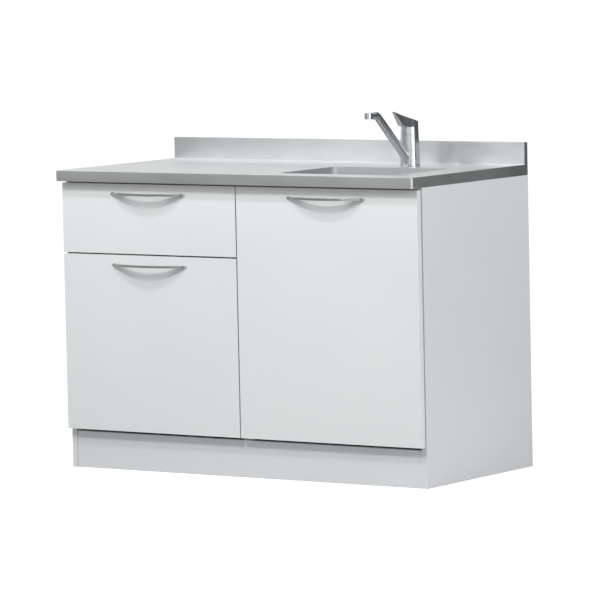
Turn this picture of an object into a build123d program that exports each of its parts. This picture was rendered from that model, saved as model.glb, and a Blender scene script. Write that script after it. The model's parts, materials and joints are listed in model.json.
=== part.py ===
from build123d import *
from math import acos, asin, atan2, cos, degrees, hypot, radians, sin, tan
import os

# A free-standing kitchen sink unit: two base units under one stainless steel worktop, with a bowl
# in the right half and a single-lever mixer tap. The left unit has a drawer above a door, and the
# right unit has one full-height door.
# Millimetres. X runs to the right, Y to the wall behind and Z up. The origin is on the floor, in
# the middle of the whole unit's footprint.

# ---------------------------------------------------------------- driving dimensions

# Cabinet boards
unit_width = 600
board = 16
plinth_height = 112
plinth_recess = 3
plinth_gap = 8
rail_width = 60
front_rail_width = 100
edge_rail_height = 80
back_board = 4
back_recess = 18
groove_depth = 6
shelf_height = 360
shelf_setback = 20
service_width = 180
service_height = 200
service_bottom = 410

# Worktop and upstand
worktop_depth = 600
worktop_height = 850
worktop_thickness = 30
sheet = 1
sheet_corner = 6
upstand_height = 62
upstand_thickness = 18

# Bowl
bowl_width = 380
bowl_length = 290
bowl_depth = 155
bowl_setback = 80
bowl_corner = 28
bowl_floor_radius = 18
bowl_flange = 10
recess_depth = 3

# Fronts
front_board = 18
front_overhang = 28
front_top_gap = 6
front_gap = 4
front_drop = 1
buffer_gap = 3
drawer_front_height = 197

# Bow handles
handle_length = 258
handle_reach = 36
handle_blade = 12
handle_thickness = 6
handle_foot = 22
handle_drop = 28
post_radius = 4.5
post_length = 6

# Dowels, shelf pins and screws
dowel_radius = 4
dowel_length = 30
dowel_in_side = 11
dowel_inset = 25
rail_dowel_inset = 16
pin_radius = 2.5
pin_length = 17
pin_in_side = 8
pin_inset = 60
screw_radius = 2
screw_head_radius = 4
screw_head = 2.4
screw_bite = 5
worktop_screw_bite = 14
connector_radius = 5
connector_head_radius = 9
connector_head = 2
connector_heights = (180, 560)
connector_inset = 60

# Cup hinges, measured from the door's outer edge and from its front face
cup_radius = 17.5
cup_depth = 12.5
cup_edge = 4
cup_wall = 0.8
cup_floor = 1
cup_rim = 1.2
flange_half_length = 26
flange_width = 16
hinge_end = 100
hinge_pin_radius = 1.2
hinge_pin_edge = 7.6
eye_radius = 2
arm_half_width = 4
arm_thickness = 2
arm_reach = 11
boss_length = 3.7
plate_length = 45
plate_half_height = 22
plate_setback = 2

# Drawer box and its runners
drawer_box_length = 450
drawer_box_height = 120
drawer_box_board = 12
drawer_box_lift = 38
drawer_floor = 4
drawer_floor_lift = 10
drawer_floor_groove = 6
runner_space = 13
runner_height = 45
runner_depth = 10
runner_setback = 3
runner_steel = 1.2
runner_lip = 3

# Waste strainer
strainer_rim_radius = 57
strainer_cup_radius = 44
strainer_depth = 45
strainer_wall = 1.2
strainer_outlet = 20
strainer_rim = 2
seal_thickness = 3
seal_width = 11
shell_wall = 3
shell_depth = 54
spigot_length = 28
basket_height = 30
basket_lift = 4
basket_holes = 16
basket_hole_radius = 2.5
stopper_radius = 23
stopper_thickness = 2.5
knob_radius = 7
knob_height = 8
stem_radius = 3

# Bottle trap
pipe_radius = 20
pipe_wall = 2
spigot_wall = 3.5
nut_wall = 6
nut_height = 22
bottle_radius = 38
bottle_wall = 2.5
bottle_height = 82
cup_height = 38
inlet_gap = 24
trap_drop = 60
outlet_drop = 26
outlet_spigot = 20
outlet_short = 4

# Tap, heights above the worktop
tap_x = 300
tap_behind_middle = 15
tap_height = 110
tap_base_radius = 28
tap_top_radius = 25
base_ring = 4
sleeve_top = 45
turret_base = 89.5
spigot_radius = 18
cartridge_radius = 17.4
cartridge_floor = 50
cartridge_height = 43
ring_gap = 0.3
tap_hole_radius = 17.5
shank_radius = 16
shank_bore = 12
shank_length = 75
shank_socket = 12
clamp_thickness = 3
clamp_radius = 26
clamp_nut_height = 12
clamp_nut_radius = 27

# Spout
spout_angle = 41
spout_shoulder = 0.8
spout_root_radius = 12
spout_radius = 11
spout_end_radius = 7.5
spout_bend = 30
spout_axis_height = 149.5
spout_reach = 208
outlet_radius = 11.5
outlet_bottom = 141.5
outlet_top = 158.5
aerator_radius = 8.5
aerator_height = 9
aerator_bore = 6

# Lever, seen from the side: forward of the tap's axis and above the worktop
lever_back_height = 118.5
lever_tip = (82, 155.4)
lever_chin = (46, 115.5)
lever_lift = 0.5
lever_tip_half_width = 4
lever_chin_half_width = 9
lever_pin_back = 20
lever_pin_height = 114
lever_pin_radius = 1.5
lever_pin_half_length = 11
lever_relief = 24
ear_radius = 3.2
ear_half_width = 5

# Supply tails
tail_radius = 5
tail_bore = 4
tail_pitch = 6.2
tail_spread = 45
tail_bend_radius = 30
tail_end_height = 480
tail_seat = 12
tail_shoulder = 95
tail_elbow = 160

# Clearances
slip = 0.1
running_fit = 0.05
panel_fit = 0.5
groove_fit = 0.15
slide_gap = 0.3

# ---------------------------------------------------------------- places that follow from them

half_width = unit_width
forward_reach = max(handle_reach - front_overhang, 0)
back_y = (worktop_depth + forward_reach) / 2
worktop_front_y = back_y - worktop_depth
face_y = worktop_front_y + front_overhang
panel_back_y = face_y + front_board
carcass_front_y = panel_back_y + buffer_gap
back_panel_y = back_y - back_recess - back_board
carcass_top = worktop_height - worktop_thickness
fronts_top = carcass_top - front_top_gap
fronts_bottom = plinth_height + front_drop
drawer_front_bottom = fronts_top - drawer_front_height
left_door_top = drawer_front_bottom - front_gap
plinth_back_y = carcass_front_y + plinth_recess + board
bowl_x = unit_width / 2
bowl_y = worktop_front_y + bowl_setback + bowl_length / 2
bowl_floor = worktop_height - bowl_depth
recess_floor = bowl_floor - recess_depth
bowl_back_y = bowl_y + bowl_length / 2
rear_rail_y = (back_panel_y - rail_width, back_panel_y)
tap_y = (bowl_back_y + rear_rail_y[0]) / 2 + tap_behind_middle


def unit_span(unit):
    """The left and right outer faces of unit 0, the left one, or of unit 1."""
    left = (unit - 1) * unit_width
    return left, left + unit_width


def inner_faces(unit):
    """Each side's inner face, with the direction that points into that side."""
    left, right = unit_span(unit)
    return (left + board, -1), (right - board, 1)


def inner_span(unit):
    """The clear width between a unit's two sides."""
    left, right = unit_span(unit)
    return left + board, right - board


# ---------------------------------------------------------------- plain shapes


def block(x_span, y_span, z_span):
    """A box between two planes along each axis, given in either order."""
    spans = (x_span, y_span, z_span)
    sizes = [abs(end - start) for start, end in spans]
    middle = [(start + end) / 2 for start, end in spans]
    return Pos(*middle) * Box(*sizes)


def rod(start, direction, length, radius):
    """A round bar from a point along a direction."""
    seat = (Align.CENTER, Align.CENTER, Align.MIN)
    return Plane(origin=start, z_dir=direction) * Cylinder(radius, length, align=seat)


def turned(centre, outline, direction=(0, 0, 1)):
    """A turned solid about a line, from (radius, distance along the line) points."""
    section = make_face(Polyline([(radius, 0, along) for radius, along in outline], close=True))
    return Plane(origin=centre, z_dir=direction) * revolve(section, Axis.Z)


def taper(start, direction, length, near_radius, far_radius):
    """A round bar that narrows evenly from a point along a direction."""
    seat = (Align.CENTER, Align.CENTER, Align.MIN)
    return Plane(origin=start, z_dir=direction) * Cone(near_radius, far_radius, length, align=seat)


def ring(centre, outer, inner, length, direction=(0, 0, 1)):
    """A plain tube or washer."""
    outline = [(inner, 0), (outer, 0), (outer, length), (inner, length)]
    return turned(centre, outline, direction)


def group(solids):
    """Separate solids that share one node."""
    return Compound(children=list(solids))


def save(name, shape):
    """Writes one node."""
    export_step(shape, f"parts/{name}.step")


# ---------------------------------------------------------------- cabinets


def board_joints(unit):
    """The (y, z) places where a unit's cross boards meet both of its sides."""
    floor_z = plinth_height + board / 2
    rail_z = carcass_top - board / 2
    middle_y = (carcass_front_y + back_panel_y) / 2
    places = [
        (carcass_front_y + dowel_inset, floor_z),
        (middle_y, floor_z),
        (back_panel_y - dowel_inset, floor_z),
        (rear_rail_y[0] + rail_dowel_inset, rail_z),
        (rear_rail_y[1] - rail_dowel_inset, rail_z),
    ]
    if unit == 0:
        places.append((carcass_front_y + rail_dowel_inset, rail_z))
        places.append((carcass_front_y + front_rail_width - rail_dowel_inset, rail_z))
    else:
        rail_y = carcass_front_y + board / 2
        places.append((rail_y, carcass_top - rail_dowel_inset))
        places.append((rail_y, carcass_top - edge_rail_height + rail_dowel_inset))
    return places


def dowels(unit, gap=0):
    """A unit's dowels, or with a gap the holes for them."""
    rods = []
    for y, z in board_joints(unit):
        for x, outward in inner_faces(unit):
            start = x - outward * (dowel_length - dowel_in_side + gap)
            length = dowel_length + 2 * gap
            rods.append(rod((start, y, z), (outward, 0, 0), length, dowel_radius + gap))
    return rods


def shelf_pins(gap=0):
    """The four pins under the left unit's shelf, or with a gap their holes."""
    rods = []
    height = shelf_height - pin_radius - running_fit
    for y in (carcass_front_y + shelf_setback + pin_inset, back_panel_y - pin_inset):
        for x, outward in inner_faces(0):
            start = x - outward * (pin_length - pin_in_side)
            length = pin_length + gap
            rods.append(rod((start, y, height), (outward, 0, 0), length, pin_radius + gap))
    return rods


def connectors(gap=0):
    """The screws that join the two inner sides, or with a gap their holes."""
    rods = []
    for z in connector_heights:
        for y in (carcass_front_y + connector_inset, back_panel_y - connector_inset):
            shank = rod((-board - gap, y, z), (1, 0, 0), 2 * (board + gap), connector_radius + gap)
            if gap:
                rods.append(shank)
                continue
            for side in (-1, 1):
                start = (side * board, y, z)
                shank += rod(start, (side, 0, 0), connector_head, connector_head_radius)
            rods.append(shank)
    return rods


def side_panel(unit, x, outward):
    """A side from the floor to the worktop, grooved for the back. Inner sides clear the plinth."""
    panel = block((x, x + outward * board), (carcass_front_y, back_y), (0, carcass_top))
    groove_y = (back_panel_y - groove_fit, back_panel_y + back_board + groove_fit)
    panel -= block((x, x + outward * groove_depth), groove_y, (0, carcass_top))
    is_inner = abs(x) < unit_width / 2
    if is_inner:
        notch_y = (carcass_front_y, plinth_back_y + panel_fit)
        panel -= block((x, x + outward * board), notch_y, (0, plinth_height))
        panel -= connectors(slip)
    if unit == 0:
        panel -= shelf_pins(slip)
    return panel - dowels(unit, slip)


def bottom_board(unit):
    """The cabinet floor, between the sides and in front of the back."""
    z = (plinth_height, plinth_height + board)
    return block(inner_span(unit), (carcass_front_y, back_panel_y), z) - dowels(unit, slip)


def back_panel(unit):
    """A thin back in the sides' grooves. The sink unit's has a cut-out for the pipes."""
    left, right = inner_span(unit)
    reach = groove_depth - groove_fit
    y = (back_panel_y, back_panel_y + back_board)
    panel = block((left - reach, right + reach), y, (plinth_height, carcass_top))
    if unit == 1:
        x = (bowl_x - service_width / 2, bowl_x + service_width / 2)
        panel -= block(x, y, (service_bottom, service_bottom + service_height))
    return panel


def worktop_screw_places():
    """Where screws go up through the flat rails into the worktop board."""
    rear_y = (rear_rail_y[0] + rear_rail_y[1]) / 2
    front_y = carcass_front_y + front_rail_width / 2
    places = []
    for unit in (0, 1):
        left, right = unit_span(unit)
        for x in (left + unit_width / 4, right - unit_width / 4):
            places.append((x, rear_y))
            if unit == 0:
                places.append((x, front_y))
    return places


def worktop_screws(gap=0):
    """The screws under the flat rails, or with a gap their holes."""
    rods = []
    for x, y in worktop_screw_places():
        bottom = carcass_top - board
        length = board + worktop_screw_bite + gap
        screw = rod((x, y, bottom), (0, 0, 1), length, screw_radius + gap)
        if not gap:
            screw += rod((x, y, bottom - screw_head), (0, 0, 1), screw_head, screw_head_radius)
        rods.append(screw)
    return rods


def top_rails(unit):
    """The two rails under the worktop. The sink unit's front rail stands on edge, for the bowl."""
    x = inner_span(unit)
    flat = (carcass_top - board, carcass_top)
    rear = block(x, rear_rail_y, flat)
    if unit == 0:
        front = block(x, (carcass_front_y, carcass_front_y + front_rail_width), flat)
    else:
        edge = (carcass_top - edge_rail_height, carcass_top)
        front = block(x, (carcass_front_y, carcass_front_y + board), edge)
    holes = dowels(unit, slip) + worktop_screws(slip)
    return [front - holes, rear - holes]


def shelf():
    """The loose shelf in the left cupboard."""
    left, right = inner_span(0)
    y = (carcass_front_y + shelf_setback, back_panel_y - panel_fit)
    return block((left + panel_fit, right - panel_fit), y, (shelf_height, shelf_height + board))


def plinth_board():
    """One board between the outer sides, with a dark gap left over it."""
    reach = half_width - board - panel_fit
    y = (carcass_front_y + plinth_recess, plinth_back_y)
    return block((-reach, reach), y, (0, plinth_height - plinth_gap))


def plinth_blocks():
    """Glued corner blocks that hold the plinth board to the sides."""
    blocks = []
    size = 1.5 * board
    for unit in (0, 1):
        for x, outward in inner_faces(unit):
            span = (x - outward * size, x)
            top = plinth_height - plinth_gap
            blocks.append(block(span, (plinth_back_y, plinth_back_y + size), (board, top)))
    return blocks


# ---------------------------------------------------------------- worktop and bowl


def bowl_outline(grow):
    """The bowl's opening seen from above, grown on every side."""
    size = (bowl_width + 2 * grow, bowl_length + 2 * grow)
    return Pos(bowl_x, bowl_y) * RectangleRounded(*size, bowl_corner + grow)


def bowl_column(grow, z_span):
    """A straight-sided block of the bowl's outline."""
    bottom, top = z_span
    return Pos(0, 0, bottom) * extrude(bowl_outline(grow), amount=top - bottom)


def bowl_form(grow):
    """The bowl's space, or grown by the sheet its outside, with the rounded floor edge."""
    column = bowl_column(grow, (bowl_floor - grow, worktop_height - sheet))
    floor_edges = column.faces().sort_by(Axis.Z)[0].edges()
    return fillet(floor_edges, bowl_floor_radius + grow)


def sink_bowl():
    """The pressed bowl, its flange under the sheet, and the recess for the strainer."""
    flange_z = (worktop_height - 2 * sheet, worktop_height - sheet)
    centre = (bowl_x, bowl_y)
    recess_radius = strainer_rim_radius + panel_fit
    shell = bowl_form(sheet) + bowl_column(bowl_flange, flange_z)
    down = (0, 0, -1)
    shell += rod((*centre, bowl_floor), down, recess_depth + sheet, recess_radius + sheet)
    shell -= bowl_form(0)
    shell -= bowl_column(0, flange_z)
    shell -= rod((*centre, bowl_floor), down, recess_depth, recess_radius)
    hole_radius = strainer_cup_radius + panel_fit
    return shell - rod((*centre, bowl_floor), down, recess_depth + sheet, hole_radius)


def worktop_form(skin):
    """The worktop with its upstand, or that form less a skin, open at the bottom."""
    x = (-half_width + skin, half_width - skin)
    y = (worktop_front_y + skin, back_y - skin)
    slab = block(x, y, (carcass_top, worktop_height - skin))
    front_corners = slab.edges().filter_by(Axis.Z).sort_by(Axis.Y)[:2]
    slab = fillet(front_corners, sheet_corner - skin)
    upstand_y = (back_y - upstand_thickness + skin, back_y - skin)
    upstand_z = (carcass_top, worktop_height + upstand_height - skin)
    return slab + block(x, upstand_y, upstand_z)


def tap_hole(gap=0):
    """The hole for the tap's shank through the whole worktop."""
    return rod((tap_x, tap_y, carcass_top), (0, 0, 1), worktop_thickness, tap_hole_radius + gap)


def worktop_deck():
    """The stainless sheet, folded down round all edges and up over the upstand."""
    deck = worktop_form(0) - worktop_form(sheet)
    return deck - bowl_column(0, (carcass_top, worktop_height)) - tap_hole()


def worktop_core():
    """The board under the sheet, cut out for the bowl."""
    core = worktop_form(sheet) - bowl_column(bowl_flange + sheet, (carcass_top, worktop_height))
    return core - tap_hole(panel_fit) - worktop_screws(slip)


# ---------------------------------------------------------------- handles and fronts


def handle_post_places(x):
    """The two places where a handle is screwed on."""
    reach = (handle_length - handle_foot) / 2
    return x - reach, x + reach


def bow_handle(x, z):
    """A flat bow with its feet on the front's face, and a threaded post at each foot."""
    half = handle_length / 2
    inner_half = half - handle_foot
    outer = ThreePointArc((-half, 0), (0, -handle_reach), (half, 0))
    inner = ThreePointArc((inner_half, 0), (0, handle_blade - handle_reach), (-inner_half, 0))
    feet = [Line((half, 0), (inner_half, 0)), Line((-inner_half, 0), (-half, 0))]
    outline = make_face([outer, feet[0], inner, feet[1]])
    bow = extrude(outline, amount=handle_thickness / 2, both=True)
    for post_x in handle_post_places(0):
        bow += rod((post_x, 0, 0), (0, -1, 0), post_length, post_radius)
    for post_x in handle_post_places(0):
        bow -= rod((post_x, 0, 0), (0, -1, 0), screw_bite + slip, screw_radius + slip)
    return Pos(x, face_y, z) * bow


def handle_screws(x, z, gap=0):
    """The screws from behind a front into its handle, or with a gap their holes."""
    screws = []
    for post_x in handle_post_places(x):
        start = (post_x, panel_back_y, z)
        length = front_board if gap else front_board + screw_bite
        screw = rod(start, (0, -1, 0), length, screw_radius + gap)
        if not gap:
            screw += rod(start, (0, 1, 0), screw_head, screw_head_radius)
        screws.append(screw)
    return screws


def front_span(unit):
    """The width of a front, half a gap inside the unit's outer faces."""
    left, right = unit_span(unit)
    return left + front_gap / 2, right - front_gap / 2


def front_panel(unit, z_span):
    """A slab front with the screw holes of its handle."""
    left, right = front_span(unit)
    panel = block((left, right), (face_y, panel_back_y), z_span)
    return panel - handle_screws((left + right) / 2, z_span[1] - handle_drop, slip)


# ---------------------------------------------------------------- hinges

cup_centre = cup_edge + cup_radius
cavity_floor = front_board - cup_depth + cup_floor
hinge_pin_depth = cavity_floor + slide_gap + eye_radius
arm_inner = hinge_pin_edge + arm_reach
door_reveal = front_gap / 2


class DoorEdge:
    """Turns distances from a door's hinge-side edge and front face into places."""

    def __init__(self, unit, z_span):
        left, right = front_span(unit)
        self.x, self.inward = (left, 1) if unit == 0 else (right, -1)
        self.heights = (z_span[0] + hinge_end, z_span[1] - hinge_end)

    def point(self, across, deep, z):
        return self.x + self.inward * across, face_y + deep, z

    def block(self, across_span, deep_span, z_span):
        x_span = [self.x + self.inward * across for across in across_span]
        return block(x_span, [face_y + deep for deep in deep_span], z_span)

    def pin(self, z, half_length, radius):
        start = self.point(hinge_pin_edge, hinge_pin_depth, z - half_length)
        return rod(start, (0, 0, 1), 2 * half_length, radius)


def hinge_cup(edge, z):
    """A cup let into the door's back, with the two bosses that turn on the pin."""
    back = (0, 1, 0)
    floor = front_board - cup_depth
    cup = rod(edge.point(cup_centre, floor, z), back, cup_depth + cup_rim, cup_radius)
    across = (cup_centre - flange_width / 2, cup_centre + flange_width / 2)
    flange_z = (z - flange_half_length, z + flange_half_length)
    cup += edge.block(across, (front_board, front_board + cup_rim), flange_z)
    cavity_radius = cup_radius - cup_wall
    cavity_depth = cup_depth + cup_rim
    cavity = rod(edge.point(cup_centre, cavity_floor, z), back, cavity_depth, cavity_radius)
    cup -= cavity
    across = (hinge_pin_edge - eye_radius, hinge_pin_edge + eye_radius)
    deep = (cavity_floor, hinge_pin_depth + eye_radius)
    near = arm_half_width + slide_gap
    for side in (-1, 1):
        boss = edge.block(across, deep, (z + side * near, z + side * (near + boss_length)))
        cup += boss & cavity
    return cup - edge.pin(z, pin_half_length(), hinge_pin_radius + running_fit)


def pin_half_length():
    """Half the hinge pin: through the eye and both bosses, short of the cup's outside."""
    reach = cup_radius - cup_wall - hinge_pin_edge + cup_edge
    return min(arm_half_width + slide_gap + boss_length, reach)


def hinge_arm(edge, z):
    """The fixed arm: an eye on the pin, a crank out of the cup, and the plate on the side."""
    z_span = (z - arm_half_width, z + arm_half_width)
    half = arm_thickness / 2
    arm_outer = arm_inner + arm_thickness
    deep = (hinge_pin_depth - half, hinge_pin_depth + half)
    arm = edge.pin(z, arm_half_width, eye_radius)
    arm += edge.block((hinge_pin_edge, arm_outer), deep, z_span)
    plate_start = front_board + buffer_gap + plate_setback
    plate_end = plate_start + plate_length
    arm += edge.block((arm_inner, arm_outer), (deep[0], plate_end), z_span)
    plate_z = (z - plate_half_height, z + plate_half_height)
    side_face = board - door_reveal
    arm += edge.block((side_face, arm_outer), (plate_start, plate_end), plate_z)
    return arm - edge.pin(z, arm_half_width, hinge_pin_radius + slip / 5)


def hinge_pin(edge, z):
    """The pin that is pressed in the arm's eye."""
    return edge.pin(z, pin_half_length() - slip, hinge_pin_radius)


def cup_bores(edge):
    """The blind bores in a door's back."""
    floor = front_board - cup_depth - slip
    bores = []
    for z in edge.heights:
        start = edge.point(cup_centre, floor, z)
        bores.append(rod(start, (0, 1, 0), cup_depth + slip, cup_radius + slip))
    return bores


# ---------------------------------------------------------------- drawer

drawer_z = drawer_front_bottom + drawer_box_lift
runner_z = drawer_z + drawer_box_height / 2
drawer_box_back_y = panel_back_y + drawer_box_length


def drawer_side_span(x, outward):
    """A drawer side's outer and inner face, next to a cabinet side's inner face."""
    outer = x - outward * runner_space
    return outer, outer - outward * drawer_box_board


def drawer_groove(spread):
    """The space of the drawer's floor, and with a spread its grooves."""
    left_outer, left_inner = drawer_side_span(*inner_faces(0)[0])
    right_outer, right_inner = drawer_side_span(*inner_faces(0)[1])
    reach = drawer_floor_groove + spread
    bottom = drawer_z + drawer_floor_lift
    z = (bottom - spread, bottom + drawer_floor + spread)
    y = (panel_back_y, drawer_box_back_y - panel_fit)
    return block((left_inner - reach, right_inner + reach), y, z)


def drawer_sides():
    """The two sides of the drawer box."""
    sides = []
    for x, outward in inner_faces(0):
        y = (panel_back_y, drawer_box_back_y)
        z = (drawer_z, drawer_z + drawer_box_height)
        sides.append(block(drawer_side_span(x, outward), y, z) - drawer_groove(groove_fit))
    return sides


def drawer_back():
    """The back of the drawer box, standing on the drawer's floor."""
    left = drawer_side_span(*inner_faces(0)[0])[1]
    right = drawer_side_span(*inner_faces(0)[1])[1]
    bottom = drawer_z + drawer_floor_lift + drawer_floor + groove_fit
    y = (drawer_box_back_y - drawer_box_board, drawer_box_back_y)
    return block((left, right), y, (bottom, drawer_z + drawer_box_height))


def channel(near, far, half_height, lip):
    """A lipped channel's section: its web is near the cabinet side and its mouth is far."""
    inner = half_height - runner_steel
    upper = [
        (near, half_height),
        (far, half_height),
        (far, half_height - lip),
        (far - runner_steel, half_height - lip),
        (far - runner_steel, inner),
        (near + runner_steel, inner),
    ]
    return upper + [(depth, -height) for depth, height in reversed(upper)]


def runner_sections():
    """The sections of the three members, as (distance from the cabinet side, height)."""
    half = runner_height / 2
    step = runner_steel + slide_gap
    outer = channel(0, runner_depth, half, runner_lip)
    middle_half = half - step
    middle_lip = runner_lip + slide_gap + 0.2
    middle = channel(step, runner_depth - step, middle_half, middle_lip)
    inner_half = middle_half - middle_lip - slide_gap
    hook = middle_half - step
    near = 2 * step
    upper = [
        (runner_space, inner_half),
        (near + runner_steel, inner_half),
        (near + runner_steel, hook),
        (near, hook),
        (near, inner_half - runner_steel),
        (runner_space - runner_steel, inner_half - runner_steel),
    ]
    return outer, middle, upper + [(depth, -height) for depth, height in reversed(upper)]


def runner_pair(section):
    """One member on each side of the drawer."""
    start = carcass_front_y + runner_setback
    end = drawer_box_back_y
    members = []
    for x, outward in inner_faces(0):
        points = [(x - outward * depth, start, runner_z + height) for depth, height in section]
        face = make_face(Polyline(points, close=True))
        members.append(extrude(face, amount=end - start, dir=(0, 1, 0)))
    return members


# ---------------------------------------------------------------- waste strainer and trap

centre_of_bowl = (bowl_x, bowl_y)
rim_top = recess_floor + strainer_rim
cup_bottom = rim_top - strainer_depth
shell_top = recess_floor - sheet - seal_thickness
shell_bottom = shell_top - shell_depth
spigot_bottom = shell_bottom - spigot_length
spigot_outer = pipe_radius + spigot_wall
pipe_fit = pipe_radius + slide_gap
bottle_top = spigot_bottom - trap_drop
bottle_neck = nut_height
bottle_bottom = bottle_top - bottle_neck - bottle_height
trap_floor = bottle_bottom - 3 * bottle_wall
outlet_z = bottle_top - bottle_neck - outlet_drop


def strainer_flange():
    """The steel cup with its rim in the bowl's recess and the outlet in its floor."""
    inner = strainer_cup_radius - strainer_wall
    depth = strainer_depth
    outline = [
        (strainer_outlet, 0),
        (strainer_cup_radius, 0),
        (strainer_cup_radius, depth - strainer_rim),
        (strainer_rim_radius, depth - strainer_rim),
        (strainer_rim_radius, depth),
        (inner, depth),
        (inner, strainer_wall),
        (strainer_outlet, strainer_wall),
    ]
    return turned((*centre_of_bowl, cup_bottom), outline)


def strainer_seal():
    """The rubber ring under the bowl."""
    inner = strainer_cup_radius + slide_gap
    return ring((*centre_of_bowl, shell_top), inner + seal_width, inner, seal_thickness)


def strainer_shell():
    """The plastic body under the bowl, with the spigot for the trap."""
    inner = strainer_cup_radius + slide_gap
    bore = pipe_fit
    top = shell_depth + spigot_length
    outline = [
        (bore, 0),
        (spigot_outer, 0),
        (spigot_outer, spigot_length),
        (inner + shell_wall, spigot_length),
        (inner + shell_wall, top - shell_wall),
        (inner + seal_width, top - shell_wall),
        (inner + seal_width, top),
        (inner, top),
        (inner, spigot_length + shell_wall),
        (bore, spigot_length + shell_wall),
    ]
    return turned((*centre_of_bowl, spigot_bottom), outline)


def strainer_basket():
    """The lift-out basket: stopper, stem, perforated cup and knob."""
    seat = cup_bottom + strainer_wall + running_fit
    outer = strainer_cup_radius - strainer_wall - 2 * slide_gap
    wall = strainer_wall
    floor = stopper_thickness + basket_lift
    rim = floor + basket_height
    knob = rim - knob_height
    outline = [
        (0, 0),
        (stopper_radius, 0),
        (stopper_radius, stopper_thickness),
        (stem_radius, stopper_thickness),
        (stem_radius, floor),
        (outer, floor),
        (outer, rim),
        (outer - wall, rim),
        (outer - wall, floor + wall),
        (stem_radius, floor + wall),
        (stem_radius, knob),
        (knob_radius, knob),
        (knob_radius, rim),
        (0, rim),
    ]
    basket = turned((*centre_of_bowl, seat), outline)
    holes = PolarLocations((outer + stopper_radius) / 2, basket_holes)
    cutter = Cylinder(basket_hole_radius, 4 * wall)
    return basket - [Pos(*centre_of_bowl, seat + floor) * place * cutter for place in holes]


def trap_inlet_pipe():
    """The pipe from the strainer's spigot down into the bottle."""
    bottom = trap_floor + bottle_wall + inlet_gap
    length = spigot_bottom + nut_height / 2 - bottom
    return ring((*centre_of_bowl, bottom), pipe_radius, pipe_radius - pipe_wall, length)


def union_nut(mouth, direction):
    """A nut that holds the pipe in a spigot, whose mouth is half way along the nut."""
    outer = spigot_outer + nut_wall
    thread = spigot_outer + slide_gap
    half = nut_height / 2
    outline = [
        (pipe_fit, -half),
        (outer, -half),
        (outer, half),
        (thread, half),
        (thread, -slide_gap),
        (pipe_fit, -slide_gap),
    ]
    return turned(mouth, outline, direction)


def trap_union_nuts():
    """The three nuts of the trap. Each direction points from the pipe into the spigot."""
    outlet_mouth_y = bowl_y + bottle_radius + outlet_spigot
    return [
        union_nut((*centre_of_bowl, spigot_bottom), (0, 0, 1)),
        union_nut((*centre_of_bowl, bottle_top), (0, 0, -1)),
        union_nut((bowl_x, outlet_mouth_y, outlet_z), (0, -1, 0)),
    ]


def trap_body():
    """The bottle with its neck on top and its outlet to the back."""
    height = bottle_height
    inner = bottle_radius - bottle_wall
    outline = [
        (inner, 0),
        (bottle_radius, 0),
        (bottle_radius, height),
        (spigot_outer, height),
        (spigot_outer, height + bottle_neck),
        (pipe_fit, height + bottle_neck),
        (pipe_fit, height - bottle_wall),
        (inner, height - bottle_wall),
    ]
    body = turned((*centre_of_bowl, bottle_bottom), outline)
    start = (bowl_x, bowl_y, outlet_z)
    reach = bottle_radius + outlet_spigot
    spigot = rod(start, (0, 1, 0), reach, spigot_outer)
    spigot -= rod((*centre_of_bowl, bottle_bottom), (0, 0, 1), height, inner)
    return body + spigot - rod(start, (0, 1, 0), reach, pipe_fit)


def trap_cup():
    """The cup that screws onto the bottle's lower end."""
    inner = bottle_radius + slide_gap
    outer = inner + bottle_wall
    outline = [
        (0, 0),
        (outer, 0),
        (outer, cup_height),
        (inner, cup_height),
        (inner, bottle_wall),
        (0, bottle_wall),
    ]
    return turned((*centre_of_bowl, trap_floor), outline)


def trap_outlet_pipe():
    """The pipe from the bottle through the service cut-out to the wall side."""
    start_y = bowl_y + bottle_radius + slide_gap
    length = back_y - outlet_short - start_y
    start = (bowl_x, start_y, outlet_z)
    return ring(start, pipe_radius, pipe_radius - pipe_wall, length, (0, 1, 0))


# ---------------------------------------------------------------- tap


def tap_point(forward, up):
    """A place on the tap's middle plane."""
    return tap_x, tap_y - forward, worktop_height + up


def body_radius(up):
    """The tap's outside narrows evenly from its base to the turret's top."""
    return tap_base_radius - (tap_base_radius - tap_top_radius) * up / tap_height


def tap_base_ring():
    """The ring that the tap stands on."""
    return ring(tap_point(0, 0), body_radius(0), shank_radius + slip, base_ring)


def tap_body():
    """The fixed casting: the spigot inside the turning sleeve and the part above it."""
    socket = shank_radius + slip
    socket_top = base_ring + shank_socket
    outline = [
        (socket, base_ring),
        (spigot_radius, base_ring),
        (spigot_radius, sleeve_top),
        (body_radius(sleeve_top), sleeve_top),
        (body_radius(turret_base), turret_base - ring_gap),
        (cartridge_radius + slip, turret_base - ring_gap),
        (cartridge_radius + slip, cartridge_floor),
        (0, cartridge_floor),
        (0, socket_top),
        (socket, socket_top),
    ]
    body = turned(tap_point(0, 0), outline)
    seat = socket_top
    for side in (-1, 1):
        start = (tap_x + side * tail_pitch, tap_y, worktop_height + seat)
        body -= rod(start, (0, 0, 1), tail_seat, tail_radius + slip)
    return body


def tap_shank():
    """The hollow threaded tube through the worktop."""
    length = base_ring + shank_socket + shank_length
    return ring(tap_point(0, -shank_length), shank_radius, shank_bore, length)


def tap_clamp_washer():
    """The steel washer under the worktop board."""
    start = tap_point(0, -worktop_thickness - clamp_thickness)
    return ring(start, clamp_radius, shank_radius + slip, clamp_thickness)


def tap_clamp_nut():
    """The hexagon nut that clamps the tap."""
    bottom = -worktop_thickness - clamp_thickness - clamp_nut_height
    hexagon = RegularPolygon(clamp_nut_radius, 6) - Circle(shank_radius + slip)
    return Pos(*tap_point(0, bottom)) * extrude(hexagon, amount=clamp_nut_height)


def tap_cartridge():
    """The ceramic cartridge in its seat, under the turret."""
    return rod(tap_point(0, cartridge_floor), (0, 0, 1), cartridge_height, cartridge_radius)


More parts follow.
